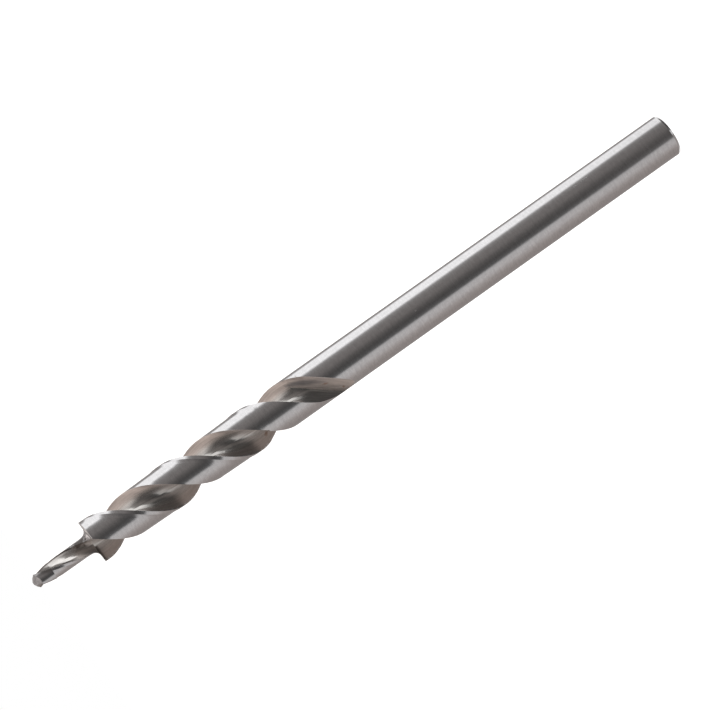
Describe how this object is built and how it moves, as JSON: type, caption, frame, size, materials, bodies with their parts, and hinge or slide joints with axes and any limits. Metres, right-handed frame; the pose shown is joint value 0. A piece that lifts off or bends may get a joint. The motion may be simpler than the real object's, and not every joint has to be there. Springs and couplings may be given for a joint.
{
  "type": "pocket hole drill bit",
  "caption": "Stepped twist drill bit with a slim pilot, a flat counterbore shoulder and a long plain round shank, for drilling angled pocket screw holes in wood",
  "frame": {"origin": "centre of the flat shank end, on the bit's axis", "axes": "+Z runs along the bit's axis from the shank end to the point; at the counterbore shoulder the first lip lies along +X; +Y follows from the right hand rule"},
  "size_m": [0.0094, 0.0094, 0.16],
  "materials": {
    "ground_steel": "high-speed steel, ground bright on the shank and lands, with browner wheel-ground flutes"
  },
  "bodies": {
    "root": {"drill_bit": "ground_steel"}
  },
  "joints": []
}
